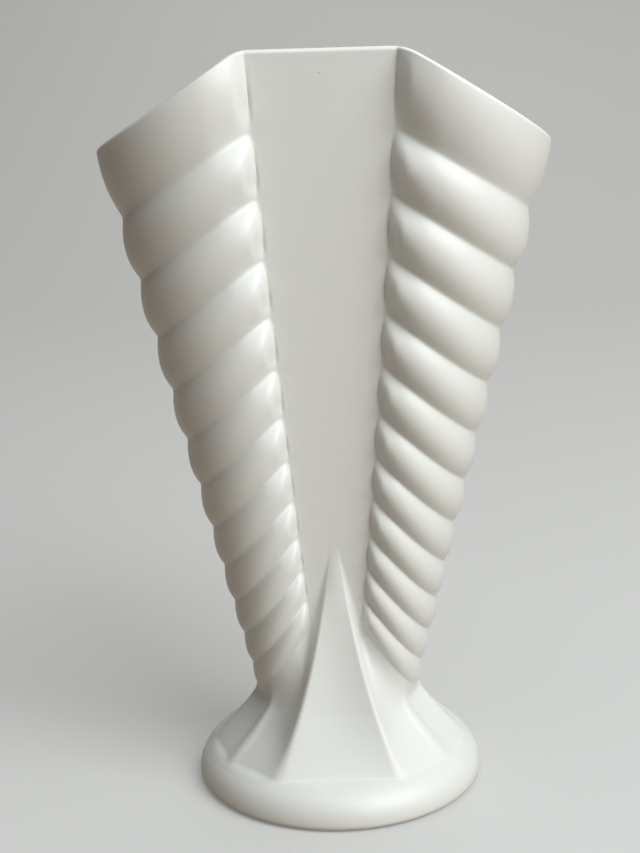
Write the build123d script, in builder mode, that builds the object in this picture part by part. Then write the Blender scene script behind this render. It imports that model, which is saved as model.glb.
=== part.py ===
"""Fan vase: two fluted wings and two flat panels standing in a faceted calyx foot.

Z is up, the front faces -Y and the origin is the middle of the base. All sizes are in mm.
"""

from math import cos, radians, sin
from build123d import *
import os

os.makedirs("parts", exist_ok=True)

# Heights
rim_height = 204.0
rim_tip_height = 181.0
tip_height = 179.3
neck_height = 26.0
seat_height = 19.0

# Half-widths of the wings, from the middle of the vase to the grooves at the outer edge
tip_half_width = 58.6
neck_half_width = 22.6

# Half-widths of the panels, at the rim, half-way and at the seat
panel_rim_half_width = 19.3
panel_mid_half_width = 12.9
panel_seat_half_width = 4.2

# Half-depths, at the rim and at the seat
panel_rim_depth = 23.0
panel_seat_depth = 11.0
wing_rim_depth = 28.5
wing_seat_depth = 13.2

# Wall and lobes
wall = 4.0
lobe_count = 12
groove_rise = 22.5
lobe_growth_share = 1.15
lobe_bulge_share = 0.15
lobe_lap_share = 0.25
rim_bulge_share = 0.6
crest_share = 0.22
lip_radius = 1.4
lip_shares = [0, 0.7, 1]

# Calyx: ridges where they end over the disc, at the neck and inside the body
ridge_end_height = 10.8
spire_height = 66.5
spire_sink = 0.7
flank_end_radius = 35.2
side_end_radius = 35.6
flank_neck_radius = 19.6
side_neck_radius = 22.4
ridge_top_radius = 5.0
spire_tip_half_width = 1.6
spire_flare_share = 0.45
gore_count = 12
toe_share = 0.68
spire_upper_share = 0.75
flank_scoop_shares = [0.02, -0.02, -0.07, -0.09, -0.09, -0.09, -0.09]
spire_scoop_shares = [0.05, 0.01, -0.05, -0.06, -0.02, 0.1, 0.2]

# Foot disc
disc_height = 10.4
disc_radius = 40.9
disc_bottom_radius = 38.6
shoulder_share = 0.82
recess_radius = 33.0
recess_top_radius = 31.5
recess_depth = 2.5

# Cuts run past the faces they open by this much
overrun = 5.0


def between(low, high, share):
    """Value at a share of the way from low to high."""
    return low + (high - low) * share


def body_share(height):
    """Share of the way from the seat to the rim at a height."""
    return (height - seat_height) / (rim_height - seat_height)


def panel_depth(height):
    """Half-depth over the two panels at a height."""
    return between(panel_seat_depth, panel_rim_depth, body_share(height))


def wing_depth(height):
    """Half-depth over the grooves of a wing's crest at a height."""
    return between(wing_seat_depth, wing_rim_depth, body_share(height))


def panel_half_width(height):
    """Half-width of a panel at a height: a smooth curve through the three given ones."""
    share = body_share(height)
    low = between(panel_seat_half_width, panel_mid_half_width, 2 * share)
    high = between(panel_mid_half_width, panel_rim_half_width, 2 * share - 1)
    return between(low, high, share)


def wing_half_width(height):
    """Half-width of the vase over the grooves of its wings at a height."""
    share = (height - neck_height) / (tip_height - neck_height)
    return between(neck_half_width, tip_half_width, share)


# Heights of the grooves at a wing's outer edge, the lobes growing evenly from the neck to the tip
lobe_shares = [1 + lobe_growth_share * i / (lobe_count - 1) for i in range(lobe_count)]
groove_shares = [sum(lobe_shares[:i]) / sum(lobe_shares) for i in range(lobe_count + 1)]
groove_heights = [between(neck_height, tip_height, share) for share in groove_shares]
edge_heights = groove_heights[:-1] + [rim_tip_height]


def wing_plane(height, rise):
    """Plane of a groove: across the wing from its crease, falling by rise to the outer edge."""
    crease = panel_half_width(height + rise)
    reach = wing_half_width(height) - crease
    return Plane(origin=(crease, 0, height + rise), x_dir=(reach, 0, -rise), z_dir=(rise, 0, reach))


def wing_outline(height, rise, bulge, lap, inset):
    """Sketch a wing's outline on its groove plane.

    The outline swells by bulge past the grooves, laps over the panel and is inset for the lip.
    """
    crease = panel_half_width(height + rise)
    reach = ((wing_half_width(height) - crease) ** 2 + rise**2) ** 0.5
    crest = crest_share * reach
    crest_depth = wing_depth(height + rise * (1 - crest_share)) + bulge - inset
    crease_depth = panel_depth(height + rise) - inset
    with BuildLine() as outline:
        TangentArc((crest, -crest_depth), (-lap, -crease_depth), tangent=(-1, 0))
        EllipticalCenterArc((crest, 0), reach + bulge - inset - crest, crest_depth, -90, arc_size=180)
        TangentArc((crest, crest_depth), (-lap, crease_depth), tangent=(-1, 0))
        Line((-lap, crease_depth), (-lap, -crease_depth))
    make_face(outline.edges())


def cavity_outline(height):
    """Sketch the inside of the vessel at a height, one wall in from the grooves."""
    crease = panel_half_width(height)
    crest = between(crease, wing_half_width(height), crest_share)
    reach = wing_half_width(height) - crest - wall
    crease_depth = panel_depth(height) - wall
    crest_depth = wing_depth(height) - wall
    with BuildLine() as outline:
        Line((-crease, -crease_depth), (crease, -crease_depth))
        Line((crease, -crease_depth), (crest, -crest_depth))
        EllipticalCenterArc((crest, 0), reach, crest_depth, -90, arc_size=180)
        Line((crest, crest_depth), (crease, crease_depth))
        Line((crease, crease_depth), (-crease, crease_depth))
        Line((-crease, crease_depth), (-crest, crest_depth))
        EllipticalCenterArc((-crest, 0), reach, crest_depth, 90, arc_size=180)
        Line((-crest, -crest_depth), (-crease, -crease_depth))
    make_face(outline.edges())


# Solid wing: a root standing on the seat, one barrel-sided lobe on another, and a rounded lip
rim_rise = rim_height - rim_tip_height
rim_plane = wing_plane(rim_tip_height, rim_rise)
rim_bulge = rim_bulge_share * lobe_bulge_share * (groove_heights[-1] - groove_heights[-2])
lip_sizes = [(lip_radius * (share - 1), lip_radius * (1 - (1 - share**2) ** 0.5)) for share in lip_shares]
with BuildPart() as wing_body:
    with BuildSketch(wing_plane(seat_height, 0)):
        wing_outline(seat_height, 0, 0, 0, 0)
    with BuildSketch(wing_plane(neck_height, groove_rise)):
        wing_outline(neck_height, groove_rise, 0, 0, 0)
    loft(ruled=True)
    for i in range(lobe_count):
        low, high = edge_heights[i], edge_heights[i + 1]
        middle = (low + high) / 2
        bulge = lobe_bulge_share * (high - low)
        with BuildSketch(wing_plane(low, groove_rise)):
            wing_outline(low, groove_rise, 0, 0, 0)
        if i < lobe_count - 1:
            with BuildSketch(wing_plane(middle, groove_rise)):
                wing_outline(middle, groove_rise, bulge, bulge * lobe_lap_share, 0)
            with BuildSketch(wing_plane(high, groove_rise)):
                wing_outline(high, groove_rise, 0, 0, 0)
        else:
            middle_rise = (groove_rise + rim_rise) / 2
            with BuildSketch(wing_plane(middle, middle_rise)):
                wing_outline(middle, middle_rise, bulge, bulge * lobe_lap_share, 0)
            with BuildSketch(rim_plane.offset(-lip_radius)):
                wing_outline(rim_tip_height, rim_rise, rim_bulge, 0, 0)
        loft()
    for drop, inset in lip_sizes:
        with BuildSketch(rim_plane.offset(drop)):
            wing_outline(rim_tip_height, rim_rise, rim_bulge, 0, inset)
    loft()

# Inside of the vessel, from the seat to above the rim
cavity_heights = [seat_height, neck_height + groove_rise, (tip_height + neck_height) / 2, rim_height + overrun]
with BuildPart() as cavity:
    for height in cavity_heights:
        with BuildSketch(Plane.XY.offset(height)):
            cavity_outline(height)
    loft(ruled=True)

with BuildPart() as right_wing:
    add(wing_body.part)
    add(cavity.part, mode=Mode.SUBTRACT)
right_wing.part.label = "right_wing"
export_step(right_wing.part, "parts/right_wing.step")

with BuildPart() as left_wing:
    add(mirror(right_wing.part, about=Plane.YZ))
left_wing.part.label = "left_wing"
export_step(left_wing.part, "parts/left_wing.step")

# Core of the vessel between the wings, as deep as the panels' outer faces and their lip
core_heights = [seat_height, neck_height + groove_rise, (tip_height + neck_height) / 2, tip_height]
core_sizes = [(height, 0) for height in core_heights] + [(rim_height + drop, inset) for drop, inset in lip_sizes]
with BuildPart() as core:
    for height, inset in core_sizes:
        lap = between(wall, 0, body_share(height))
        with BuildSketch(Plane.XY.offset(height)):
            Rectangle(2 * panel_half_width(height) + 2 * lap, 2 * panel_depth(height) - 2 * inset)
    loft(ruled=True)

with BuildPart() as front_panel:
    add(core.part)
    add(wing_body.part, mode=Mode.SUBTRACT)
    add(mirror(wing_body.part, about=Plane.YZ), mode=Mode.SUBTRACT)
    add(cavity.part, mode=Mode.SUBTRACT)
    split(bisect_by=Plane.XZ, keep=Keep.TOP)
front_panel.part.label = "front_panel"
export_step(front_panel.part, "parts/front_panel.step")

with BuildPart() as back_panel:
    add(mirror(front_panel.part, about=Plane.XZ))
back_panel.part.label = "back_panel"
export_step(back_panel.part, "parts/back_panel.step")


def ridge_radius(height, end_radius, neck_radius):
    """Radius of a flank or side ridge: straight to the neck, then straight inside the body."""
    if height <= neck_height:
        share = (height - ridge_end_height) / (neck_height - ridge_end_height)
        return between(end_radius, neck_radius, share)
    share = (height - neck_height) / (spire_height - neck_height)
    return between(neck_radius, ridge_top_radius, share)


def spire_ridge(height):
    """X and Y of the ridge at the right of the front spire, flaring out from under the panel's face."""
    share = (spire_height - height) / (spire_height - ridge_end_height)
    flare = between(share, share**3, spire_flare_share)
    turn = radians(360 / gore_count)
    across = between(spire_tip_half_width, flank_end_radius * sin(turn), flare)
    out = between(panel_depth(spire_height) - spire_sink, flank_end_radius * cos(turn), flare)
    return across, -out


def ridge_points(height):
    """Ridge points round the calyx at a height, from the right of the front spire."""
    across, out = spire_ridge(height)
    flank = ridge_radius(height, flank_end_radius, flank_neck_radius)
    side = ridge_radius(height, side_end_radius, side_neck_radius)
    turn = radians(2 * 360 / gore_count)
    quarter = [(across, out), (flank * sin(turn), -flank * cos(turn))]
    right = quarter + [(side, 0)] + [(x, -y) for x, y in reversed(quarter)]
    return right + [(-x, -y) for x, y in right]


def calyx_outline(height, flank_scoop, spire_scoop):
    """Sketch the calyx at a height, each gore an arc scooped by a share of its width."""
    points = ridge_points(height)
    half = len(points) // 2
    with BuildLine() as outline:
        for i, start in enumerate(points):
            end = points[(i + 1) % len(points)]
            scoop = spire_scoop if i % half == half - 1 else flank_scoop
            middle = [(a + b) / 2 for a, b in zip(start, end)]
            bow = (end[1] - start[1]) * scoop, (start[0] - end[0]) * scoop
            ThreePointArc(start, (middle[0] + bow[0], middle[1] + bow[1]), end)
    make_face(outline.edges())


# Foot disc: a turned base with a rounded shoulder and a shallow recess under it
shoulder_radius = shoulder_share * disc_height
shoulder_centre = disc_radius - shoulder_radius
shoulder_base = disc_height - shoulder_radius
edge_round = disc_radius - disc_bottom_radius
with BuildPart() as disc_body:
    with BuildSketch(Plane.XZ):
        with BuildLine():
            Polyline((shoulder_centre, disc_height), (0, disc_height), (0, 0), (disc_bottom_radius, 0))
            EllipticalCenterArc((disc_bottom_radius, shoulder_base), edge_round, shoulder_base, -90, arc_size=90)
            CenterArc((shoulder_centre, shoulder_base), shoulder_radius, 0, 90)
        make_face()
    revolve(axis=Axis.Z)

with BuildPart() as foot_disc:
    add(disc_body.part)
    with BuildSketch(Plane.XY):
        Circle(recess_radius)
    with BuildSketch(Plane.XY.offset(recess_depth)):
        Circle(recess_top_radius)
    loft(mode=Mode.SUBTRACT)
foot_disc.part.label = "foot_disc"
export_step(foot_disc.part, "parts/foot_disc.step")

toe_height = toe_share * disc_height
neck_middle = (ridge_end_height + neck_height) / 2
spire_middle = (neck_height + spire_height) / 2
spire_upper = between(neck_height, spire_height, spire_upper_share)
calyx_heights = [toe_height, ridge_end_height, neck_middle, neck_height, spire_middle, spire_upper, spire_height]

# Calyx: a fluted flare fitted over the disc's shoulder, with a socket the wings and panels stand in
with BuildPart() as calyx:
    for height, flank_scoop, spire_scoop in zip(calyx_heights, flank_scoop_shares, spire_scoop_shares):
        with BuildSketch(Plane.XY.offset(height)):
            calyx_outline(height, flank_scoop, spire_scoop)
    loft()
    add(disc_body.part, mode=Mode.SUBTRACT)
    add(core.part, mode=Mode.SUBTRACT)
    add(wing_body.part, mode=Mode.SUBTRACT)
    add(mirror(wing_body.part, about=Plane.YZ), mode=Mode.SUBTRACT)
calyx.part.label = "calyx"
export_step(calyx.part, "parts/calyx.step")
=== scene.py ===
"""Fan vase in satin white glaze: fluted wings and flat panels standing in a faceted calyx on a round foot.

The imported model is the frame. Each of its nodes is replaced by a finer piece of the same size, on the same body.
Sizes are in millimetres; a mesh is turned into metres when its points are placed. The front faces -Y.
"""

import logging
import math
from dataclasses import dataclass, field, fields
from enum import Enum
from types import SimpleNamespace

import bmesh
import bpy
from mathutils import Matrix, Vector


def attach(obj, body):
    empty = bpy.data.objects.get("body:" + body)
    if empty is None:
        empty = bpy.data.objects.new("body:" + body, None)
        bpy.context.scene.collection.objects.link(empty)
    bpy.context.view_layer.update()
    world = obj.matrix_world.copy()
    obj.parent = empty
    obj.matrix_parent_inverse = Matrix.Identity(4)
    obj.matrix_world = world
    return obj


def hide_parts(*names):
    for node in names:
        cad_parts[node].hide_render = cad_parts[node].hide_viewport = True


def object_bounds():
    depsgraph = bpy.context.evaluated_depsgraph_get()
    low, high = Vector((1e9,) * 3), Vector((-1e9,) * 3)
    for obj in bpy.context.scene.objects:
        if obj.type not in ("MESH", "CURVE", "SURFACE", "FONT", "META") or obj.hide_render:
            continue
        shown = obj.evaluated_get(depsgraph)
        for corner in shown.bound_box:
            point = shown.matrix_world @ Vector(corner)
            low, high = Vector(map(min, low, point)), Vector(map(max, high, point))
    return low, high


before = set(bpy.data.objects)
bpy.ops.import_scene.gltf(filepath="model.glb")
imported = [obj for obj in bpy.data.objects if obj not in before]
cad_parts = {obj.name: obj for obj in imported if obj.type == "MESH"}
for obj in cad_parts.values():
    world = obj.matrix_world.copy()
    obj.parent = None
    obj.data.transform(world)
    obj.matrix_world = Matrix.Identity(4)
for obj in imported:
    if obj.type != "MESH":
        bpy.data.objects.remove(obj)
CAD_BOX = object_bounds()

log = logging.getLogger("fan_vase")
METRES = 0.001
BODY = "root"
SLOT = "white_glaze"

# How thin the glaze lies on the lip, and how strongly a fillet takes the darker colour of gathered glaze, which also
# paints shade into the crease, as shares
LIP_THIN = 0.9
FILLET_POOL_AND_SHADE = 0.8

Colour = tuple[float, float, float, float]


class Side(Enum):
    """Which side of the vase a wing is on, as the sign of its X."""

    LEFT = -1
    RIGHT = 1


class Face(Enum):
    """Which face of the vase a panel is on, as the sign of its Y."""

    FRONT = -1
    BACK = 1


class Num:
    """A number socket in a node tree. Sums written on it add Math nodes to the tree."""

    def __init__(self, graph: "Graph", socket: bpy.types.NodeSocket) -> None:
        """Wrap a socket of a graph."""
        self.graph = graph
        self.socket = socket

    def __add__(self, other: "Num | float") -> "Num":
        """Sum of two numbers."""
        return self.graph.math("ADD", self, other)

    __radd__ = __add__

    def __sub__(self, other: "Num | float") -> "Num":
        """Difference of two numbers."""
        return self.graph.math("SUBTRACT", self, other)

    def __rsub__(self, other: float) -> "Num":
        """Difference with a plain number on the left."""
        return self.graph.math("SUBTRACT", other, self)

    def __mul__(self, other: "Num | float") -> "Num":
        """Product of two numbers."""
        return self.graph.math("MULTIPLY", self, other)

    __rmul__ = __mul__

    def __truediv__(self, other: "Num | float") -> "Num":
        """Quotient of two numbers."""
        return self.graph.math("DIVIDE", self, other)

    def __rtruediv__(self, other: float) -> "Num":
        """Quotient with a plain number on the left."""
        return self.graph.math("DIVIDE", other, self)

    def __pow__(self, other: "Num | float") -> "Num":
        """Power of a number."""
        return self.graph.math("POWER", self, other)

    def __neg__(self) -> "Num":
        """The number with its sign turned."""
        return self.graph.math("MULTIPLY", self, -1.0)

    def __abs__(self) -> "Num":
        """The number without its sign."""
        return self.graph.math("ABSOLUTE", self)

    def __lt__(self, other: "Num | float") -> "Num":
        """1 where the number is less than the other, else 0."""
        return self.graph.math("LESS_THAN", self, other)

    def __gt__(self, other: "Num | float") -> "Num":
        """1 where the number is more than the other, else 0."""
        return self.graph.math("GREATER_THAN", self, other)

    def least(self, other: "Num | float") -> "Num":
        """The smaller of two numbers."""
        return self.graph.math("MINIMUM", self, other)

    def most(self, other: "Num | float") -> "Num":
        """The larger of two numbers."""
        return self.graph.math("MAXIMUM", self, other)

    def clamp(self, low: float, high: float) -> "Num":
        """The number kept between two limits."""
        return self.most(low).least(high)

    def root(self) -> "Num":
        """Square root."""
        return self.graph.math("SQRT", self)

    def sin(self) -> "Num":
        """Sine of an angle in radians."""
        return self.graph.math("SINE", self)

    def cos(self) -> "Num":
        """Cosine of an angle in radians."""
        return self.graph.math("COSINE", self)

    def floor(self) -> "Num":
        """Whole part."""
        return self.graph.math("FLOOR", self)

    def mod(self, other: float) -> "Num":
        """Remainder of a division."""
        return self.graph.math("FLOORED_MODULO", self, other)

    def towards(self, other: "Num | float", share: "Num | float") -> "Num":
        """Value a share of the way from this number to another."""
        return self + (other - self) * share

    def ease(self) -> "Num":
        """Smooth step of a share, kept between 0 and 1."""
        share = self.clamp(0.0, 1.0)
        return share * share * (3.0 - 2.0 * share)

    def soft_most(self, other: "Num | float", width: "Num | float") -> "Num":
        """The larger of two numbers, rounded where they are within a width of each other."""
        near = (width - abs(self - other)).most(0.0)
        return self.most(other) + near * near / (4.0 * width)

    def soft_least(self, other: "Num | float", width: "Num | float") -> "Num":
        """The smaller of two numbers, rounded where they are within a width of each other."""
        near = (width - abs(self - other)).most(0.0)
        return self.least(other) - near * near / (4.0 * width)


# Where a ridge is: across, and towards the front
Ridge = tuple[Num, Num | float]


class Graph:
    """A node tree under construction: one method adds any node, one adds sums."""

    def __init__(self, tree: bpy.types.NodeTree) -> None:
        """Start on a tree."""
        self.tree = tree

    @classmethod
    def blank(cls, owner: bpy.types.Material | bpy.types.World) -> "Graph":
        """Start on the emptied tree of a material or a world."""
        owner.use_nodes = True
        owner.node_tree.nodes.clear()
        return cls(owner.node_tree)

    def node(self, kind: str, settings: dict | None = None, sockets: dict | None = None) -> bpy.types.Node:
        """Add a node.

        Args:
            kind: Blender's name for the node's type.
            settings: The node's own settings, such as an operation, which are set first.
            sockets: Values or links of its inputs, by name or place.

        Returns:
            The node.
        """
        node = self.tree.nodes.new(kind)
        for name, value in (settings or {}).items():
            setattr(node, name, value)
        for name, value in (sockets or {}).items():
            self.plug(node.inputs[name], value)
        return node

    def plug(self, socket: bpy.types.NodeSocket, value: object) -> None:
        """Link an input to a number or socket, or set its value."""
        if isinstance(value, Num):
            value = value.socket
        if isinstance(value, bpy.types.NodeSocket):
            self.tree.links.new(value, socket)
        else:
            socket.default_value = value

    def math(self, operation: str, *values: "Num | float") -> Num:
        """Add a Math node and return its result."""
        node = self.node("ShaderNodeMath", {"operation": operation}, dict(enumerate(values)))
        return Num(self, node.outputs[0])

    def mix(self, low: object, high: object, share: Num) -> bpy.types.NodeSocket:
        """Blend two colours by a share."""
        sockets = {0: share.clamp(0.0, 1.0), 6: low, 7: high}
        return self.node("ShaderNodeMix", {"data_type": "RGBA"}, sockets).outputs[2]

    def vector(self, x: "Num | float", y: "Num | float", z: "Num | float") -> bpy.types.NodeSocket:
        """Put three numbers together as a vector."""
        return self.node("ShaderNodeCombineXYZ", None, {"X": x, "Y": y, "Z": z}).outputs[0]

    def parts(self, vector: bpy.types.NodeSocket) -> tuple[Num, Num, Num]:
        """Take a vector apart into three numbers."""
        node = self.node("ShaderNodeSeparateXYZ", None, {"Vector": vector})
        return Num(self, node.outputs[0]), Num(self, node.outputs[1]), Num(self, node.outputs[2])


class ShapeTree(Graph):
    """A Geometry Nodes tree that bends a grid of points into one closed piece."""

    merge_distance = 2e-6
    crease_angle = math.radians(50.0)

    def __init__(self, name: str, columns: int, rows: int, *sizes: object) -> None:
        """Start a tree on a grid of points.

        Args:
            name: Name of the tree.
            columns: Points across the grid.
            rows: Points up the grid.
            sizes: Dataclasses whose fractional fields become the tree's named inputs.
        """
        super().__init__(bpy.data.node_groups.new(name, "GeometryNodeTree"))
        self.tree.interface.new_socket("Mesh", in_out="OUTPUT", socket_type="NodeSocketGeometry")
        self.values: dict[str, float] = {}
        given: dict[str, float] = {}
        for group in sizes:
            given |= {f.name: getattr(group, f.name) for f in fields(group) if f.type is float and not f.metadata}
        for label in given:
            socket = self.tree.interface.new_socket(label, in_out="INPUT", socket_type="NodeSocketFloat")
            self.values[socket.identifier] = given[label]
        entry = self.node("NodeGroupInput")
        self.size = SimpleNamespace(**{label: Num(self, entry.outputs[label]) for label in given})
        grid = {"Size X": 1.0, "Size Y": 1.0, "Vertices X": columns, "Vertices Y": rows}
        self.mesh = self.node("GeometryNodeMeshGrid", None, grid).outputs["Mesh"]
        index = Num(self, self.node("GeometryNodeInputIndex").outputs[0])
        self.column = ((index + 0.5) / rows).floor()
        self.row = index - self.column * rows

    def place(self, x: Num, y: Num, z: Num, glaze: Num, material: bpy.types.Material) -> None:
        """Put the points in place, close the piece and end the tree.

        Args:
            x: Across the vase, in millimetres.
            y: Towards the back, in millimetres.
            z: Up, in millimetres.
            glaze: How thick the glaze lies, from -1 where it has run thin to 1 where it gathers in a hollow, whose
                darker colour also paints shade there.
            material: Finish of the piece.
        """
        store = {"Geometry": self.mesh, "Name": "glaze", "Value": glaze}
        kept = self.node("GeometryNodeStoreNamedAttribute", {"data_type": "FLOAT", "domain": "POINT"}, store)
        spot = self.vector(x * METRES, y * METRES, z * METRES)
        moved = self.node("GeometryNodeSetPosition", None, {"Geometry": kept.outputs[0], "Position": spot})
        merge = {"Geometry": moved.outputs[0], "Distance": self.merge_distance}
        merged = self.node("GeometryNodeMergeByDistance", None, merge)
        round_faces = self.node("GeometryNodeSetShadeSmooth", None, {"Geometry": merged.outputs[0]})
        angle = Num(self, self.node("GeometryNodeInputMeshEdgeAngle").outputs["Unsigned Angle"])
        smooth = {"Geometry": round_faces.outputs[0], "Shade Smooth": angle < self.crease_angle}
        shaded = self.node("GeometryNodeSetShadeSmooth", {"domain": "EDGE"}, smooth)
        real = self.node("GeometryNodeRealizeInstances", None, {"Geometry": shaded.outputs[0]})
        done = self.node("GeometryNodeSetMaterial", None, {"Geometry": real.outputs[0], "Material": material})
        self.node("NodeGroupOutput", None, {0: done.outputs[0]})

    def make(self, name: str) -> bpy.types.Object:
        """Run the tree and keep its result as a plain mesh that faces outwards.

        Args:
            name: Name of the piece.

        Returns:
            The piece, at the origin.
        """
        piece = bpy.data.objects.new(f"glazed_{name}", bpy.data.meshes.new(name))
        bpy.context.scene.collection.objects.link(piece)
        bend = piece.modifiers.new(name, "NODES")
        bend.node_group = self.tree
        for identifier, value in self.values.items():
            bend[identifier] = value
        mesh = bpy.data.meshes.new_from_object(piece.evaluated_get(bpy.context.evaluated_depsgraph_get()))
        piece.modifiers.remove(bend)
        piece.data = mesh
        mesh.name = piece.name
        face_outwards(mesh)
        return piece


def face_outwards(mesh: bpy.types.Mesh) -> None:
    """Turn a closed mesh's faces outwards and report any open edge."""
    shell = bmesh.new()
    shell.from_mesh(mesh)
    if shell.calc_volume(signed=True) < 0.0:
        bmesh.ops.reverse_faces(shell, faces=shell.faces)
    gaps = sum(not edge.is_manifold for edge in shell.edges)
    if gaps:
        log.warning("%s has %d open edges", mesh.name, gaps)
    shell.to_mesh(mesh)
    shell.free()


def wall_loop(column: Num, columns: int) -> tuple[Num, Num]:
    """Where a column of points is in the loop round a wall.

    Args:
        column: Number of the column.
        columns: Columns from one seam to the other.

    Returns:
        1 on the inner face, else 0, and the share of the way from the first seam to the other.
    """
    turn = column.mod(2.0 * columns + 2.0)
    inner = turn > columns + 0.5
    back = 1.0 - (turn - (columns + 1.0)) / columns
    return inner, (turn / columns).towards(back, inner)


@dataclass(frozen=True)
class Level:
    """One level round the body, from a crease down to a wing's outer edge.

    Attributes:
        height: Height at the wing's outer edge.
        rise: How much higher the level is at the crease.
        lobes: Lobes below the level, counted from the neck.
        top: Share of the top lobe below the level.
        lip: Share of the way round the lip.
        lift: What the rounded lip adds to the height.
        close: Share of the way from the wall's two faces to its middle.
        root: Share of the way from the neck down to the seat.
    """

    height: Num
    rise: Num
    lobes: Num
    top: Num
    lip: Num
    lift: Num
    close: Num
    root: Num


@dataclass(frozen=True)
class BodyLines:
    """Sizes that the wings and panels share, and the lines drawn from them."""

    rim_height: float = 204.0
    rim_tip_height: float = 181.0
    tip_height: float = 179.3
    neck_height: float = 26.0
    seat_height: float = 19.0
    tip_half_width: float = 58.6
    neck_half_width: float = 22.6
    panel_rim_half_width: float = 19.3
    panel_mid_half_width: float = 12.9
    panel_seat_half_width: float = 4.2
    panel_rim_depth: float = 23.0
    panel_seat_depth: float = 11.0
    wing_rim_depth: float = 28.5
    wing_seat_depth: float = 13.2
    wall: float = 4.0
    groove_rise: float = 22.5
    lobe_growth: float = 1.15
    seam_margin: float = 1.6
    seam_margin_share: float = 0.1
    lip_height: float = 1.1
    lip_square: float = 0.9
    lobe_count: int = 12
    root_rows: int = 18
    lobe_rows: int = 18
    lip_rows: int = 10
    groove_crowding: float = field(default=0.55, metadata={"plain": True})

    @property
    def rows(self) -> int:
        """Rows of points from the seat over the lip."""
        return 2 + self.root_rows + self.lobe_count * self.lobe_rows + self.lip_rows

    def share(self, s: SimpleNamespace, z: Num) -> Num:
        """Share of the way from the seat to the rim at a height."""
        return (z - s.seat_height) / (s.rim_height - s.seat_height)

    def panel_depth(self, s: SimpleNamespace, z: Num) -> Num:
        """Half-depth over the two panels at a height."""
        return s.panel_seat_depth.towards(s.panel_rim_depth, self.share(s, z))

    def wing_depth(self, s: SimpleNamespace, z: Num) -> Num:
        """Half-depth over the grooves of a wing's crest at a height."""
        return s.wing_seat_depth.towards(s.wing_rim_depth, self.share(s, z))

    def panel_half_width(self, s: SimpleNamespace, z: Num) -> Num:
        """Half-width of a panel at a height, a smooth curve through three."""
        share = self.share(s, z)
        low = s.panel_seat_half_width.towards(s.panel_mid_half_width, 2.0 * share)
        high = s.panel_mid_half_width.towards(s.panel_rim_half_width, 2.0 * share - 1.0)
        return low.towards(high, share)

    def wing_half_width(self, s: SimpleNamespace, z: Num) -> Num:
        """Half-width of the vase over the grooves of its wings at a height."""
        return s.neck_half_width.towards(s.tip_half_width, (z - s.neck_height) / (s.tip_height - s.neck_height))

    def margin(self, s: SimpleNamespace, crease: Num) -> Num:
        """How far inside its crease a wing meets a panel, on the flat."""
        return s.seam_margin + s.seam_margin_share * crease

    def level(self, s: SimpleNamespace, row: Num) -> Level:
        """Level of a row of points, with the lobes growing evenly from the neck to the tip.

        Args:
            s: The tree's sizes.
            row: Number of the row, from the seat.

        Returns:
            The level.
        """
        count = self.lobe_count
        step = row - float(1 + self.root_rows)
        below = (step / self.root_rows).clamp(-1.0, 0.0)
        lobes = (step / self.lobe_rows).clamp(0.0, count)
        lobes = lobes - (2.0 * math.pi * lobes).sin() * (self.groove_crowding / (2.0 * math.pi))
        lip = ((step - float(count * self.lobe_rows)) / self.lip_rows).clamp(0.0, 1.0)
        grown = lobes + s.lobe_growth * lobes * (lobes - 1.0) / (2.0 * (count - 1))
        grown = grown / (count + s.lobe_growth * (count / 2.0))
        top = (lobes - (count - 1.0)).clamp(0.0, 1.0)
        climb = s.neck_height + (s.neck_height - s.seat_height) * below
        height = climb + (s.tip_height - s.neck_height) * grown + (s.rim_tip_height - s.tip_height) * top
        rise = s.groove_rise * (1.0 + below) + (s.rim_height - s.rim_tip_height - s.groove_rise) * top
        turn = lip * (math.pi / 2.0)
        lift = (turn.sin().most(0.0) ** s.lip_square - top) * s.lip_height
        close = (1.0 - turn.cos().most(0.0) ** s.lip_square).most(row < 0.5)
        return Level(height, rise, lobes, top, lip, lift, close, -below)


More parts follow.
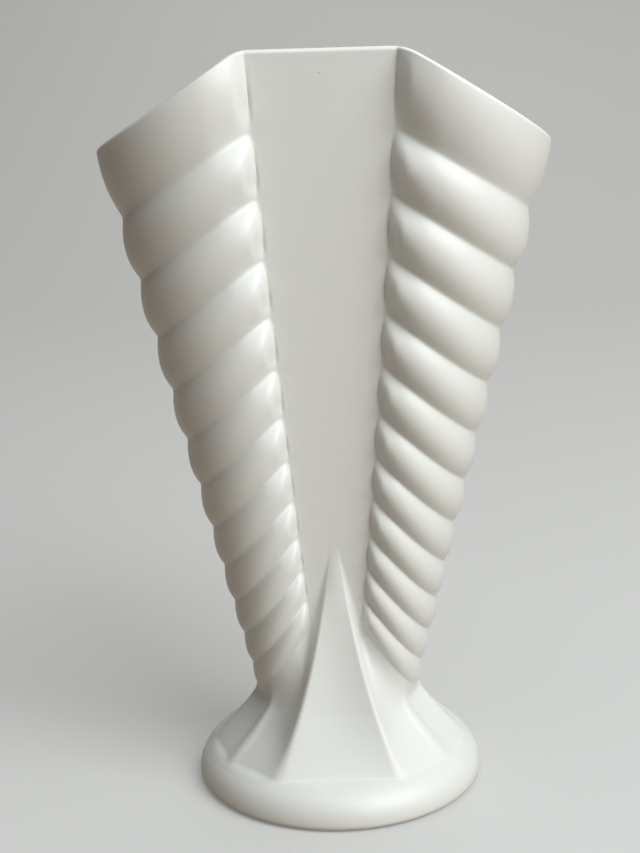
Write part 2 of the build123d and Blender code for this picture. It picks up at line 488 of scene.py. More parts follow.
@dataclass(frozen=True)
class CalyxLines:
    """Sizes of the calyx's ridges and gores, and the lines drawn from them."""

    ridge_end_height: float = 10.8
    spire_height: float = 66.5
    spire_sink: float = 0.7
    flank_end_radius: float = 35.2
    side_end_radius: float = 36.2
    flank_neck_radius: float = 19.6
    side_neck_radius: float = 22.1
    ridge_top_radius: float = 5.0
    neck_round: float = 6.0
    spire_tip_half_width: float = 1.9
    spire_end_half_width: float = 17.2
    spire_end_depth: float = 30.5
    spire_flare: float = 0.4
    spire_crown: float = 0.25
    gore_scoop: float = 0.09
    spire_scoop: float = 0.055
    ridge_round: float = 1.8
    ridge_blend: float = 0.2
    shoulder_centre: float = 32.37
    shoulder_base: float = 1.87
    shoulder_radius: float = 8.53
    toe_height: float = 9.2
    toe_fade: float = 11.0
    toe_round: float = 1.2
    toe_flow: float = 2.0
    toe_dive: float = 0.4
    toe_under: float = 0.05
    spire_fillet: float = 2.0
    neck_fillet: float = 7.5
    side_fillet: float = 0.4
    neck_flow: float = 0.3
    neck_dive: float = 1.5
    gore_turn: float = math.radians(30.0)

    def ridge(self, s: SimpleNamespace, z: Num, end: Num, neck: Num) -> Num:
        """Radius of a flank or side ridge at a height: straight to the neck, then straight inside the body."""
        low = end.towards(neck, (z - s.ridge_end_height) / (s.neck_height - s.ridge_end_height))
        high = neck.towards(s.ridge_top_radius, (z - s.neck_height) / (s.spire_height - s.neck_height))
        return low.soft_most(high, s.neck_round).most(2.0)

    def spire_ridge(self, s: SimpleNamespace, z: Num, body: BodyLines) -> Ridge:
        """Where the ridge beside the spire is at a height.

        Args:
            s: The tree's sizes.
            z: The height.
            body: Lines of the body that the spire lies on.

        Returns:
            How far the ridge is from the middle, and how far out.
        """
        left = 1.0 - (z - s.ridge_end_height) / (s.spire_height - s.ridge_end_height)
        flare = left * (1.0 - s.spire_flare) + left.most(0.0) ** 3.0 * s.spire_flare
        tip = body.panel_depth(s, s.spire_height) - s.spire_sink
        across = s.spire_tip_half_width + (s.spire_end_half_width - s.spire_tip_half_width) * flare
        return across.most(0.3), tip + (s.spire_end_depth - tip) * flare

    def gore(self, start: Ridge, end: Ridge, across: Num, front: Num, scoop: Num) -> Num:
        """Radius of one gore in a direction.

        Args:
            start: Ridge at the gore's first side, across and towards the front.
            end: Ridge at its other side.
            across: Direction, across.
            front: Direction, towards the front.
            scoop: Depth of the scoop as a share of the gore's width.

        Returns:
            The radius, scooped between the two ridges.
        """
        wide, deep = end[0] - start[0], end[1] - start[1]
        fall = (wide * front - deep * across).most(0.02)
        radius = (end[0] * start[1] - start[0] * end[1]) / fall
        width = wide * wide + deep * deep
        along = ((radius * across - start[0]) * wide + (radius * front - start[1]) * deep) / width
        place = (2.0 * along - 1.0).clamp(-1.6, 1.6)
        return radius - scoop * width.root() * (1.0 - place * place)

    def radius(self, s: SimpleNamespace, across: Num, front: Num, z: Num, body: BodyLines) -> tuple[Num, Num]:
        """Radius of the calyx in a direction of its front right quarter.

        Args:
            s: The tree's sizes.
            across: Direction, across, from 0 to 1.
            front: Direction, towards the front, from 0 to 1.
            z: The height.
            body: Lines of the body that stands in the calyx.

        Returns:
            The radius, and how near a ridge is, from 0 to 1.
        """
        first = self.spire_ridge(s, z, body)
        flank = self.ridge(s, z, s.flank_end_radius, s.flank_neck_radius)
        side = self.ridge(s, z, s.side_end_radius, s.side_neck_radius)
        turn = 2.0 * s.gore_turn
        second = flank * turn.sin(), flank * turn.cos()
        third = side, 0.0
        fourth = second[0], -second[1]
        lean = ((z - s.ridge_end_height) / (s.neck_height - s.ridge_end_height)).clamp(-0.4, 1.0)
        crown = ((z - s.neck_height) / (s.spire_height - s.neck_height)).clamp(0.0, 1.0) ** 4.0 * s.spire_crown
        scoop = s.gore_scoop * ((z - s.toe_height) / s.toe_fade).ease()
        spire = self.gore((-first[0], first[1]), first, across, front.most(0.05), s.spire_scoop * lean - crown)
        near = self.gore(first, second, across, front, scoop)
        far = self.gore(second, third, across, front, scoop)
        back = self.gore(third, fourth, across, front, scoop)
        past = ((across * turn.cos() - front * turn.sin()) / s.ridge_blend + 0.5).ease()
        side_gores = far.soft_least(back, s.ridge_round)
        flank_gores = near.towards(side_gores, past)
        edge = (1.0 - abs(spire - flank_gores) / s.ridge_round).most(0.0)
        edge = edge.most(1.0 - abs(2.0 * past - 1.0)).most((1.0 - abs(far - back) / s.ridge_round).most(0.0))
        return spire.soft_least(flank_gores, s.ridge_round), edge.clamp(0.0, 1.0)

    def fill(
        self, s: SimpleNamespace, x: Num, y: Num, z: Num, inner: Num, body: BodyLines
    ) -> tuple[Num, Num, Num]:
        """Fill the crease between the body and the calyx with glaze, at a point of the body.

        Args:
            s: The tree's sizes.
            x: The point, across.
            y: The point, towards the back.
            z: The point's height.
            inner: 1 on the body's inner face, which stays as it is, else 0.
            body: Lines of the body.

        Returns:
            The point across and towards the back, and how strongly the darker colour of gathered glaze and painted
            shade lies there.
        """
        own = (x * x + y * y).root().most(1.0)
        radius, _ = self.radius(s, abs(x) / own, abs(y) / own, z, body)
        width = self.fillet(s, abs(x) / own, z)
        # The fillet's share sets the darker colour of gathered glaze and painted shade
        joined, fillet_pool_and_shade = self.flow(s, own, radius, width, width * s.neck_flow, s.neck_dive)
        scale = (joined.most(own) / own).towards(1.0, inner)
        return x * scale, y * scale, fillet_pool_and_shade * FILLET_POOL_AND_SHADE

    def flow(self, s: SimpleNamespace, own: Num, other: Num, width: Num, under: Num, dive: Num) -> tuple[Num, Num]:
        """Let one piece run into another on a fillet of glaze, and dive under it past that.

        Args:
            s: The tree's sizes.
            own: Radius of the piece.
            other: Radius of the piece that it meets.
            width: Width of the fillet.
            under: How far the piece stays just under the other before it dives.
            dive: How steeply it dives.

        Returns:
            The radius, and how strongly the darker colour of gathered glaze and painted shade lies there, from 0 to
            1.
        """
        near = (width - abs(own - other)).most(0.0)
        past = (other - own) / under
        joined = own.most(other) + near * near / (4.0 * width)
        # near / width is the share of the darker colour of gathered glaze and painted shade in the fillet
        return joined - s.toe_under * past.ease() - dive * under * (past - 1.0).most(0.0), near / width

    def fillet(self, s: SimpleNamespace, across: Num, z: Num) -> Num:
        """Width of the glaze fillet in a direction and at a height, widest at the front of the neck."""
        neck = s.neck_fillet * (1.0 - (1.0 - s.side_fillet) * across**4.0)
        return neck.towards(s.spire_fillet, ((z - s.neck_height) / s.groove_rise).ease())


@dataclass(frozen=True)
class FlutedWing:
    """One hollow wing of slanting lobes, grown from the neck to the tip."""

    side: Side
    body: BodyLines
    calyx: CalyxLines
    lobe_bulge: float = 0.15
    edge_bulge: float = 0.11
    lobe_fullness: float = 0.85
    groove_soft: float = 0.3
    lobe_lap: float = 0.2
    rim_fall: float = 0.27
    rim_crest: float = 0.31
    neck_crest: float = 0.28
    crease_round: float = 0.06
    lobe_end: float = 2.3
    rim_steepness: float = 0.45
    corner_round: float = 0.085
    rim_shoulder: float = 0.045
    inner_follow: float = 0.6
    root_taper: float = 0.28
    pocket_depth: float = 0.1
    pocket_width: float = 0.13
    pocket_place: float = 0.45
    pocket_low: float = 0.3
    pocket_high: float = 0.8
    rim_dip: float = 0.0
    crease_crowding: float = 1.7
    groove_power: float = 1.5
    ridge_thin: float = 0.35
    columns: int = 112
    crease_columns: float = 0.5

    @property
    def name(self) -> str:
        """Node that the wing stands for."""
        return "left_wing" if self.side is Side.LEFT else "right_wing"

    def build(self, material: bpy.types.Material, filled: bool) -> bpy.types.Object:
        """Build the wing.

        Args:
            material: Finish of the wing.
            filled: Whether glaze fills the crease with the calyx.

        Returns:
            The wing's object.
        """
        body = self.body
        tree = ShapeTree(self.name, 2 * self.columns + 3, body.rows, body, self.calyx, self)
        s = tree.size
        level = body.level(s, tree.row)
        inner, along = wall_loop(tree.column, self.columns)
        reach = 1.0 - abs(2.0 * along - 1.0)
        to_crest = (reach / s.crease_columns).clamp(0.0, 1.0)
        turn = ((reach - s.crease_columns) / (1.0 - s.crease_columns)).clamp(0.0, 1.0) * (math.pi / 2.0)
        crease = body.panel_half_width(s, level.height + level.rise)
        edge = body.wing_half_width(s, level.height)
        taper = 1.0 - s.root_taper * level.root.ease()
        span = (edge - crease) * taper
        length = (span * span + level.rise * level.rise).root()
        swell, pitch, within = self._swell(s, level)
        bulge = swell * pitch * s.lobe_bulge
        edge_bulge = swell * pitch * s.edge_bulge
        crest = s.neck_crest.towards(s.rim_crest, level.lobes / float(body.lobe_count))
        start = -body.margin(s, crease) / span
        near = start.towards(crest, to_crest**s.crease_crowding)

        outer = near + (1.0 + edge_bulge / length - crest) * turn.sin()
        inside = near + (1.0 - (s.wall - edge_bulge * s.inner_follow) / span - crest) * turn.sin()
        place = outer.towards(inside, inner)
        place = place.towards((outer + inside) * 0.5, level.close)
        shoulder = s.rim_shoulder * level.top
        slope = (place - shoulder).soft_most(0.0, s.corner_round) / (1.0 - shoulder)
        dip = s.rim_dip * level.top * 4.0 * slope * (1.0 - slope).most(0.0)
        x = crease + span * place
        z = level.height + level.rise * (1.0 - slope) + level.lift - dip

        flat = body.panel_depth(s, z)
        groove = (body.wing_depth(s, level.height + level.rise * (1.0 - crest)) - flat) * taper
        lap = bulge * s.lobe_lap
        climb = ((near * length + lap) / (crest * length + lap)).clamp(0.0, 1.0)
        lobe = climb * climb * climb / (climb * climb + s.crease_round * s.crease_round)
        lobe = (1.0 - (1.0 - lobe).most(0.0) ** s.lobe_end).most(0.0) ** (1.0 / s.lobe_end)
        steep = swell.least(1.0) * (1.0 - s.rim_steepness * level.top * level.top)
        pocket = self._pocket(s, near * span / (s.pocket_width * pitch), within) * (1.0 - level.root)
        soft = (1.0 - (1.0 - climb) * (1.0 - climb)).most(0.0) ** s.groove_power
        front = flat + (groove + bulge) * soft.towards(lobe, steep) - pocket * s.pocket_depth * pitch
        back = flat - s.wall + (groove + bulge * s.inner_follow) * (near / crest).ease()
        depth = front.towards(back, inner)
        depth = depth.towards((front + back) * 0.5, level.close) * turn.cos()
        y = depth * (2.0 * (along > 0.5) - 1.0)

        thin = (swell**4.0 * s.ridge_thin).most(level.lip * LIP_THIN)
        # Darker colour in the grooves, the pockets beside the crease and the fillet: gathered glaze and painted shade
        pool_and_shade = ((1.0 - swell).most(0.0) ** 3.0 * (1.0 - level.lip) * (1.0 - level.root)).most(pocket)
        if filled:
            x, y, fillet_pool_and_shade = self.calyx.fill(s, x, y, z, inner, body)
            pool_and_shade = pool_and_shade.most(fillet_pool_and_shade)
        glaze = (pool_and_shade - thin) * (1.0 - inner)
        tree.place(x * float(self.side.value), y, z, glaze, material)
        return tree.make(self.name)

    def _pocket(self, s: SimpleNamespace, across: Num, within: Num) -> Num:
        """Depth of the pocket that the glaze left beside a lobe's lower corner.

        Args:
            s: The tree's sizes.
            across: Distance from the crease, as a share of the pocket's width.
            within: Share of the way up the lobe.

        Returns:
            The share of a full pocket's depth.
        """
        beside = (1.0 - (across - s.pocket_place) * (across - s.pocket_place)).most(0.0)
        fade = (1.0 - (within - s.pocket_low) / (s.pocket_high - s.pocket_low)).ease()
        return beside * beside * (within / s.pocket_low).ease() * fade

    def _swell(self, s: SimpleNamespace, level: Level) -> tuple[Num, Num, Num]:
        """How far a level swells past the grooves.

        Args:
            s: The tree's sizes.
            level: The level.

        Returns:
            The share of a full lobe's swelling, the height of a lobe, and the share of the way up it.
        """
        count = self.body.lobe_count
        whole = level.lobes.least(count - 0.001).floor()
        place = (level.lobes - whole) * (1.0 - s.rim_fall * (level.lobes > count - 1.0))
        share = (4.0 * place * (1.0 - place)).most(0.0001) ** s.lobe_fullness
        share = (share * share + s.groove_soft * s.groove_soft).root()
        share = (share - s.groove_soft) / ((1.0 + s.groove_soft * s.groove_soft).root() - s.groove_soft)
        pitch = 1.0 + s.lobe_growth * (2.0 * level.lobes - 1.0) / (2.0 * (count - 1.0))
        pitch = pitch * (s.tip_height - s.neck_height) / (count + s.lobe_growth * (count / 2.0))
        return share, pitch, place


@dataclass(frozen=True)
class FlatPanel:
    """The smooth flat wall between the two wings, front or back."""

    face: Face
    body: BodyLines
    calyx: CalyxLines
    columns: int = 48

    @property
    def name(self) -> str:
        """Node that the panel stands for."""
        return "front_panel" if self.face is Face.FRONT else "back_panel"

    def build(self, material: bpy.types.Material, filled: bool) -> bpy.types.Object:
        """Build the panel.

        Args:
            material: Finish of the panel.
            filled: Whether glaze fills the crease with the calyx.

        Returns:
            The panel's object.
        """
        body = self.body
        tree = ShapeTree(self.name, 2 * self.columns + 3, body.rows, body, self.calyx)
        s = tree.size
        level = body.level(s, tree.row)
        inner, along = wall_loop(tree.column, self.columns)
        crease = body.panel_half_width(s, level.height + level.rise)
        x = (crease - body.margin(s, crease)) * (2.0 * along - 1.0)
        z = level.height + level.rise + level.lift
        depth = body.panel_depth(s, z) - s.wall * inner.towards(0.5, level.close)
        y = depth * float(self.face.value)
        # Darker colour in the fillet with the calyx: gathered glaze and painted shade
        pool_and_shade = 0.0
        if filled:
            x, y, pool_and_shade = self.calyx.fill(s, x, y, z, inner, body)
        glaze = (pool_and_shade - level.lip * LIP_THIN) * (1.0 - inner)
        tree.place(x, y, z, glaze, material)
        return tree.make(self.name)


@dataclass(frozen=True)
class Calyx:
    """The scooped, ridged foot with a tall pointed gore front and back, and the socket the body stands in."""

    lines: CalyxLines
    body: BodyLines
    lining_depth: float = 0.8
    lining_wall: float = 0.7
    top_over: float = 2.0
    calyx_bottom: float = 7.0
    ray_start: float = 70.0
    row_crowding: float = 1.15
    toe_soft: float = 1.0
    ray_lift: float = 0.3
    edge_thin: float = 0.8
    quarter_columns: int = 90
    spire_columns: float = 0.36
    flank_columns: float = 0.72
    outer_rows: int = 132
    inner_rows: int = 40

    name: str = "calyx"

    def build(self, material: bpy.types.Material, stand: list[bpy.types.Object]) -> bpy.types.Object:
        """Build the calyx round the pieces that stand in it.

        Args:
            material: Finish of the calyx.
            stand: The wings and panels, without their fillets.

        Returns:
            The calyx's object.
        """
        rows = 3 + self.outer_rows + self.inner_rows
        tree = ShapeTree(self.name, 4 * self.quarter_columns + 1, rows, self.body, self.lines, self)
        s = tree.size
        top = s.spire_height + s.top_over
        rise = ((tree.row - 1.0) / self.outer_rows).clamp(0.0, 1.0)
        down = ((tree.row - (1.0 + self.outer_rows)) / self.inner_rows).clamp(0.0, 1.0)
        z = s.calyx_bottom + (top - s.calyx_bottom) * rise**s.row_crowding + (s.seat_height - top) * down
        pole = (tree.row < 0.5).most(tree.row > rows - 1.5)
        hollow = down > 0.0001

        straight = z.soft_most(s.toe_height, s.toe_soft)
        across, front, right, face, middle = self._direction(tree, straight)
        gore, edge = self.lines.radius(s, across, front, straight, self.body)
        gore, toe_pool_and_shade = self._meet_shoulder(s, gore, middle, z)
        in_body = z > s.seat_height - 0.01
        level = z.most(s.seat_height + s.ray_lift)
        wall, hollow_radius = self._body_radii(tree, across * right, front * face, level, stand)
        wall, lining = wall * in_body, (hollow_radius + s.lining_depth) * in_body
        width = self.lines.fillet(s, across, z)
        outer, fillet_pool_and_shade = self.lines.flow(s, gore, wall, width, width * s.neck_flow, s.neck_dive)
        outer = outer.most(lining + s.lining_wall)
        radius = outer.towards(lining, hollow) * (1.0 - pole)
        # Darker colour in the fillet with the body and in the valley above the foot disc: gathered glaze and painted
        # shade; thinner glaze on the ridges
        glaze = (fillet_pool_and_shade.most(toe_pool_and_shade) * FILLET_POOL_AND_SHADE - edge * s.edge_thin) * (1.0 - hollow)
        tree.place(radius * across * right, radius * front * face, z, glaze, material)
        return tree.make(self.name)

    def _direction(self, tree: ShapeTree, z: Num) -> tuple[Num, Num, Num, Num, Num]:
        """Direction of a column of points, with one column along each ridge.

        Args:
            tree: The calyx's tree.
            z: The height.

        Returns:
            Across and towards the front, each from 0 to 1, then the signs that X and Y take, and how near the
            middle of a gore is, from 0 on a ridge to 1.
        """
        s = tree.size
        quarter = tree.column.mod(4.0 * self.quarter_columns) / self.quarter_columns
        which = quarter.floor()
        part = quarter - which
        part = part.towards(1.0 - part, which.mod(2.0))
        ridge = self.lines.spire_ridge(s, z, self.body)
        turn = tree.math("ARCTAN2", ridge[0], ridge[1])
        spire = (part / s.spire_columns).clamp(0.0, 1.0)
        flank = ((part - s.spire_columns) / (s.flank_columns - s.spire_columns)).clamp(0.0, 1.0)
        side = ((part - s.flank_columns) / (1.0 - s.flank_columns)).clamp(0.0, 1.0)
        angle = turn * spire + (2.0 * s.gore_turn - turn) * flank + s.gore_turn * side
        right = 1.0 - 2.0 * (quarter > 1.9999)
        back = (quarter > 0.9999) * (quarter < 2.9999)
        middle = 1.0 - spire * spire + 4.0 * flank * (1.0 - flank) + 4.0 * side * (1.0 - side)
        return angle.sin(), angle.cos(), right, 2.0 * back - 1.0, middle

    def _meet_shoulder(self, s: SimpleNamespace, gore: Num, middle: Num, z: Num) -> tuple[Num, Num]:
        """Run the gores out on the shoulder of the foot disc, and dive under it past that.

        Args:
            s: The tree's sizes.
            gore: Radius of the gores.
            middle: How near the middle of a gore is, from 0 on a ridge to 1.
            z: The height.

        Returns:
            The radius, and how strongly the darker colour of gathered glaze and painted shade lies there, from 0 to
            1.
        """
        climb = (z - s.shoulder_base).clamp(0.0, 100.0)
        shoulder = s.shoulder_centre + (s.shoulder_radius * s.shoulder_radius - climb * climb).most(0.0).root()
        shoulder = shoulder * (climb < s.shoulder_radius)
        width = s.toe_round + s.toe_flow * middle
        # The second value darkens the valley above the foot disc: gathered glaze and painted shade
        return self.lines.flow(s, gore, shoulder, width, width, s.toe_dive)

    def _body_radii(self, tree: ShapeTree, x: Num, y: Num, z: Num, stand: list[bpy.types.Object]) -> tuple[Num, Num]:
        """Radii of the body's two faces in a direction, found by rays shot at it from outside and from the axis.

        Args:
            tree: The calyx's tree.
            x: Direction, across.
            y: Direction, towards the back.
            z: The height.
            stand: The wings and panels.

        Returns:
            Radius of the outer face and of the inner face.
        """
        far = tree.size.ray_start * METRES
        joined = tree.node("GeometryNodeJoinGeometry")
        for piece in stand:
            info = tree.node("GeometryNodeObjectInfo", {"transform_space": "ORIGINAL"}, {"Object": piece})
            tree.tree.links.new(info.outputs["Geometry"], joined.inputs[0])
        lengths = []
        for start, way in ((far, -1.0), (0.0, 1.0)):
            ray = {
                "Target Geometry": joined.outputs[0],
                "Source Position": tree.vector(x * start, y * start, z * METRES),
                "Ray Direction": tree.vector(x * way, y * way, 0.0),
                "Ray Length": far,
            }
            cast = tree.node("GeometryNodeRaycast", None, ray)
            lengths.append(Num(tree, cast.outputs["Hit Distance"]) / METRES)
        return tree.size.ray_start - lengths[0], lengths[1]


@dataclass(frozen=True)
class FootDisc:
    """The turned base, with a rolled edge, a dry foot ring and a shallow recess under it."""

    lines: CalyxLines
    bottom_radius: float = 38.6
    recess_radius: float = 33.0
    recess_top_radius: float = 31.5
    recess_depth: float = 2.5
    segments: int = 256
    roll_points: int = 28
    edge_points: int = 8
    edge_thin: float = 0.35
    thin_height: float = 3.0
    thin_spread: float = 2.0

    name: str = "foot_disc"

    def build(self, material: bpy.types.Material) -> bpy.types.Object:
        """Turn the disc from its profile.

        Args:
            material: Finish of the disc.

        Returns:
            The disc's object.
        """
        profile = self._profile()
        shell = bmesh.new()
        glaze = shell.verts.layers.float.new("glaze")
        rings = []
        for radius, height, depth in profile:
            count = self.segments if radius > 0.0 else 1
            ring = []
            for i in range(count):
                turn = 2.0 * math.pi * i / self.segments
                spot = Vector((radius * math.sin(turn), -radius * math.cos(turn), height)) * METRES
                ring.append(shell.verts.new(spot))
                ring[-1][glaze] = depth
            rings.append(ring)
        for low, high in zip(rings, rings[1:]):
            for i in range(self.segments):
                j = (i + 1) % self.segments
                corners = [low[i % len(low)], low[j % len(low)], high[j % len(high)], high[i % len(high)]]
                shell.faces.new(list(dict.fromkeys(corners))).smooth = True
        mesh = bpy.data.meshes.new(f"glazed_{self.name}")
        shell.to_mesh(mesh)
        shell.free()
        mesh.materials.append(material)
        face_outwards(mesh)
        piece = bpy.data.objects.new(mesh.name, mesh)
        bpy.context.scene.collection.objects.link(piece)
        return piece

    def _profile(self) -> list[tuple[float, float, float]]:
        """Points of the profile from under the middle to the top: radius, height and glaze depth."""
        centre, base, roll = self.lines.shoulder_centre, self.lines.shoulder_base, self.lines.shoulder_radius
        points = [(0.0, self.recess_depth), (self.recess_top_radius - 1.0, self.recess_depth)]
        points += [(self.recess_top_radius - 0.3, self.recess_depth - 0.3), (self.recess_radius - 0.3, 0.4)]
        points += [(self.recess_radius, 0.1), (self.recess_radius + 0.5, 0.0), (self.bottom_radius, 0.0)]
        for i in range(1, self.edge_points + 1):
            turn = math.pi / 2.0 * i / self.edge_points
            out = self.bottom_radius + (centre + roll - self.bottom_radius) * math.sin(turn)
            points.append((out, base * (1.0 - math.cos(turn))))
        for i in range(1, self.roll_points + 1):
            turn = math.pi / 2.0 * i / self.roll_points
            points.append((centre + roll * math.cos(turn), base + roll * math.sin(turn)))
        points.append((0.0, base + roll))
        return [(r, z, self._thin(z) * (r > self.recess_radius)) for r, z in points]

    def _thin(self, height: float) -> float:
        """Glaze depth on the rolled edge at a height: thinnest where the edge is sharpest."""
        return -self.edge_thin * math.exp(-(((height - self.thin_height) / self.thin_spread) ** 2))


@dataclass(frozen=True)
class WhiteGlaze:
    """Satin white glaze on pale clay: thinner and warmer on the edges, darker in the grooves and creases as gathered
    glaze and painted shade, bare under the foot.
    """

    white: Colour = (0.80, 0.805, 0.785, 1.0)
    thin: Colour = (0.78, 0.74, 0.67, 1.0)
    # Darker colour of gathered glaze in the hollows, which also paints shade there
    pooled: Colour = (0.76, 0.77, 0.74, 1.0)
    clay: Colour = (0.62, 0.52, 0.40, 1.0)
    pit: Colour = (0.42, 0.36, 0.29, 1.0)
    roughness: float = 0.42
    coat: float = 0.12
    coat_roughness: float = 0.25
    ior: float = 1.5
    bare_height: float = 0.45
    cloud_scale: float = 55.0
    fine_scale: float = 900.0
    pit_scale: float = 90.0
    pit_size: float = 0.035
    pit_chance: float = 0.9
    bump_strength: float = 0.22
    bump_distance: float = 0.0004

    def build(self) -> bpy.types.Material:
        """Build the glaze.

        Returns:
            The material.
        """
        material = bpy.data.materials.new(SLOT)
        graph = Graph.blank(material)
        place = graph.node("ShaderNodeTexCoord").outputs["Object"]
        depth = Num(graph, graph.node("ShaderNodeAttribute", {"attribute_name": "glaze"}).outputs["Fac"])
        cloud = self._noise(graph, place, self.cloud_scale, 3.0)
        fine = self._noise(graph, place, self.fine_scale, 2.0)
        pits = self._pits(graph, place)
        height = graph.parts(place)[2] / METRES
        bare = (1.0 - height / self.bare_height + (cloud - 0.5) * 0.8).clamp(0.0, 1.0)

        worn = (-depth).clamp(0.0, 1.0) * (0.55 + 0.5 * cloud)
        colour = graph.mix(self.white, self.thin, worn * 0.55)
        # Darker where the glaze attribute is above zero, in grooves, pockets and creases: gathered glaze and painted
        # shade
        colour = graph.mix(colour, self.pooled, depth.clamp(0.0, 1.0) * 0.6 + (cloud - 0.5) * 0.3)
        colour = graph.mix(colour, self.pit, pits * 0.7)
        colour = graph.mix(colour, self.clay, bare)
        rough = self.roughness + (cloud - 0.5) * 0.12 + worn * 0.06 + pits * 0.2 + bare * 0.4
        relief = fine * 0.12 + cloud * 0.5 - pits * 1.4
        sockets = {"Strength": self.bump_strength, "Distance": self.bump_distance, "Height": relief}
        bump = graph.node("ShaderNodeBump", None, sockets)
        sockets = {
            "Base Color": colour,
            "Roughness": rough.clamp(0.05, 1.0),
            "IOR": self.ior,
            "Coat Weight": self.coat * (1.0 - bare),
            "Coat Roughness": self.coat_roughness,
            "Normal": bump.outputs[0],
        }
        shader = graph.node("ShaderNodeBsdfPrincipled", None, sockets)
        graph.node("ShaderNodeOutputMaterial", None, {"Surface": shader.outputs[0]})
        return material

    def _noise(self, graph: Graph, place: bpy.types.NodeSocket, scale: float, detail: float) -> Num:
        """Cloudy noise from 0 to 1, at a scale per metre."""
        sockets = {"Vector": place, "Scale": scale, "Detail": detail, "Roughness": 0.5}
        return Num(graph, graph.node("ShaderNodeTexNoise", None, sockets).outputs[0])

    def _pits(self, graph: Graph, place: bpy.types.NodeSocket) -> Num:
        """Sparse pinholes, 1 in the middle of each and 0 outside."""
        cells = graph.node("ShaderNodeTexVoronoi", None, {"Vector": place, "Scale": self.pit_scale})
        chance = graph.parts(cells.outputs["Color"])[0]
        far = Num(graph, cells.outputs["Distance"])
        return (1.0 - far / self.pit_size).clamp(0.0, 1.0) * (chance > self.pit_chance)


@dataclass(frozen=True)
class Lamp:
    """A soft square lamp aimed at the vase.

    Attributes:
        name: Name of the lamp.
        turn: Degrees to the right of the camera.
        lift: Degrees above the floor.
        away: Distance from the vase's middle, in metres.
        size: Side of the lamp, in metres.
        power: Strength in watts.
        colour: Tint of the light.
    """

    name: str
    turn: float
    lift: float
    away: float
    size: float
    power: float
    colour: tuple[float, float, float]

    def build(self, aim: Vector) -> None:
        """Hang the lamp and aim it at a point."""
        light = bpy.data.lights.new(self.name, "AREA")
        light.energy = self.power
        light.size = self.size
        light.color = self.colour
        lamp = bpy.data.objects.new(self.name, light)
        turn, lift = math.radians(self.turn), math.radians(self.lift)
        back = Vector((math.sin(turn) * math.cos(lift), -math.cos(turn) * math.cos(lift), math.sin(lift)))
        lamp.location = aim + back * self.away
        lamp.rotation_mode = "QUATERNION"
        lamp.rotation_quaternion = (-back).to_track_quat("-Z", "Y")
        bpy.context.scene.collection.objects.link(lamp)


@dataclass(frozen=True)
class Studio:
    """Plain pale floor that sweeps up behind the vase, soft lamps and a dim even world."""

    floor_colour: Colour = (0.46, 0.46, 0.455, 1.0)
    bounce_colour: Colour = (0.30, 0.22, 0.15, 1.0)
    floor_glow: Colour = (0.19, 0.19, 0.187, 1.0)
    unlit: Colour = (0.0, 0.0, 0.0, 1.0)
    world_light: Colour = (0.064, 0.057, 0.049, 1.0)
    backdrop: Colour = (0.23, 0.23, 0.227, 1.0)
    half_width: float = 3.0
    front: float = -2.5
    cove_start: float = 0.9
    cove_radius: float = 0.8
    wall_height: float = 2.5
    steps: int = 24
    lamps: tuple[Lamp, ...] = (
        Lamp("key", 46.0, 38.0, 1.2, 1.0, 16.8, (0.95, 1.0, 1.0)),
        Lamp("top", -20.0, 82.0, 1.4, 1.2, 4.6, (0.97, 1.0, 1.0)),
        Lamp("back", 168.0, 40.0, 1.5, 1.3, 5.5, (0.97, 1.0, 1.0)),
    )

    def build(self, aim: Vector) -> None:
        """Build the floor, the lamps and the world round a point to be lit."""
        self._floor()
        for lamp in self.lamps:
            lamp.build(aim)
        world = bpy.data.worlds.new("even_light")
        graph = Graph.blank(world)
        seen = self._seen(graph)
        sockets = {"Color": graph.mix(self.world_light, self.backdrop, seen), "Strength": 1.0}
        light = graph.node("ShaderNodeBackground", None, sockets)
        graph.node("ShaderNodeOutputWorld", None, {"Surface": light.outputs[0]})
        bpy.context.scene.world = world
        bpy.context.scene.view_settings.view_transform = "Standard"

    def _seen(self, graph: Graph) -> Num:
        """1 where the camera or a reflection sees a surface, 0 where it only lights the vase."""
        path = graph.node("ShaderNodeLightPath").outputs
        seen = Num(graph, path["Is Camera Ray"]).most(Num(graph, path["Is Glossy Ray"]))
        return seen.most(Num(graph, path["Is Transmission Ray"]))

    def _floor(self) -> None:
        """Sweep the floor into the wall behind it."""
        line = [(self.front, 0.0)]
        for i in range(self.steps + 1):
            turn = math.pi / 2.0 * i / self.steps
            out, up = self.cove_radius * math.sin(turn), self.cove_radius * (1.0 - math.cos(turn))
            line.append((self.cove_start + out, up))
        line.append((self.cove_start + self.cove_radius, self.wall_height))
        verts = [(x, y, z) for y, z in line for x in (-self.half_width, self.half_width)]
        quads = [(2 * i, 2 * i + 1, 2 * i + 3, 2 * i + 2) for i in range(len(line) - 1)]
        mesh = bpy.data.meshes.new("floor")
        mesh.from_pydata(verts, [], quads)
        mesh.shade_smooth()
        mesh.materials.append(self._floor_material())
        floor = bpy.data.objects.new("floor", mesh)
        bpy.context.scene.collection.objects.link(floor)

    def _floor_material(self) -> bpy.types.Material:
        """Matt paper of the floor, pale where it is seen, with a warmer and dimmer bounce on the vase."""
        material = bpy.data.materials.new("floor_paper")
        graph = Graph.blank(material)
        seen = self._seen(graph)
        sockets = {
            "Base Color": graph.mix(self.bounce_colour, self.floor_colour, seen),
            "Roughness": 0.85,
            "Emission Color": graph.mix(self.unlit, self.floor_glow, seen),
            "Emission Strength": 1.0,
        }
        shader = graph.node("ShaderNodeBsdfPrincipled", None, sockets)
        graph.node("ShaderNodeOutputMaterial", None, {"Surface": shader.outputs[0]})
        return material


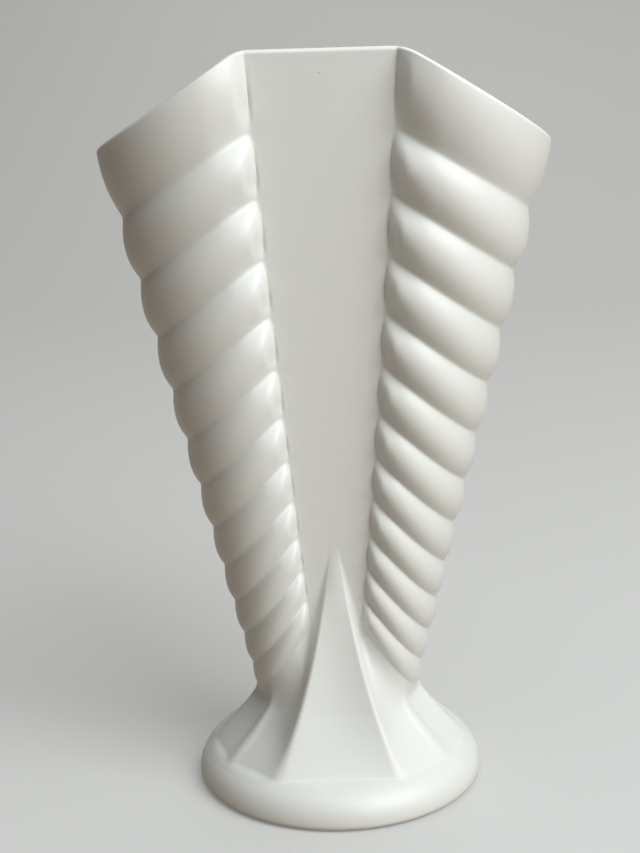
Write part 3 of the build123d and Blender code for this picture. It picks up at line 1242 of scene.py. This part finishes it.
@dataclass(frozen=True)
class Viewpoint:
    """The camera, where the photograph was taken from."""

    focal_pixels: float = 1420.0
    picture_height: float = 853.0
    across: float = 3.4
    away: float = 385.9
    height: float = 193.0
    yaw: float = math.radians(-0.96)
    pitch: float = math.radians(13.2)
    roll: float = math.radians(-1.66)

    def build(self) -> None:
        """Set the camera up and give it to the scene."""
        lens = bpy.data.cameras.new("camera")
        lens.sensor_width = 36.0
        lens.lens = lens.sensor_width * self.focal_pixels / self.picture_height
        lens.clip_start = 0.01
        camera = bpy.data.objects.new("camera", lens)
        level, fall = math.cos(self.pitch), math.sin(self.pitch)
        ahead = Vector((math.sin(self.yaw) * level, math.cos(self.yaw) * level, -fall))
        right = Vector((math.cos(self.yaw), -math.sin(self.yaw), 0.0))
        up = right.cross(ahead)
        tilted = math.cos(self.roll) * right + math.sin(self.roll) * up
        upright = math.cos(self.roll) * up - math.sin(self.roll) * right
        turn = Matrix((tilted, upright, -ahead)).transposed().to_4x4()
        spot = Vector((self.across, -self.away, self.height)) * METRES
        camera.matrix_world = Matrix.Translation(spot) @ turn
        bpy.context.scene.collection.objects.link(camera)
        bpy.context.scene.camera = camera


def adopt(piece: bpy.types.Object, node: str) -> None:
    """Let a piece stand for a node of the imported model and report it."""
    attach(piece, BODY)
    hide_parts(node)
    log.info("%s: %d faces", piece.name, len(piece.data.polygons))


def main() -> None:
    """Build the vase piece by piece, then the studio and the camera."""
    logging.basicConfig(level=logging.INFO, format="%(name)s: %(message)s")
    glaze = WhiteGlaze().build()
    body, lines = BodyLines(), CalyxLines()
    stand = [FlutedWing(Side.LEFT, body, lines, rim_dip=1.0), FlutedWing(Side.RIGHT, body, lines)]
    stand += [FlatPanel(face, body, lines) for face in Face]
    bare = [piece.build(glaze, False) for piece in stand]
    foot = Calyx(lines, body).build(glaze, bare)
    for piece in bare:
        mesh = piece.data
        bpy.data.objects.remove(piece)
        bpy.data.meshes.remove(mesh)
    for piece in stand:
        adopt(piece.build(glaze, True), piece.name)
    adopt(foot, "calyx")
    adopt(FootDisc(lines).build(glaze), "foot_disc")
    low, high = CAD_BOX
    Studio().build((low + high) / 2.0)
    Viewpoint().build()


if __name__ == "__main__":
    main()
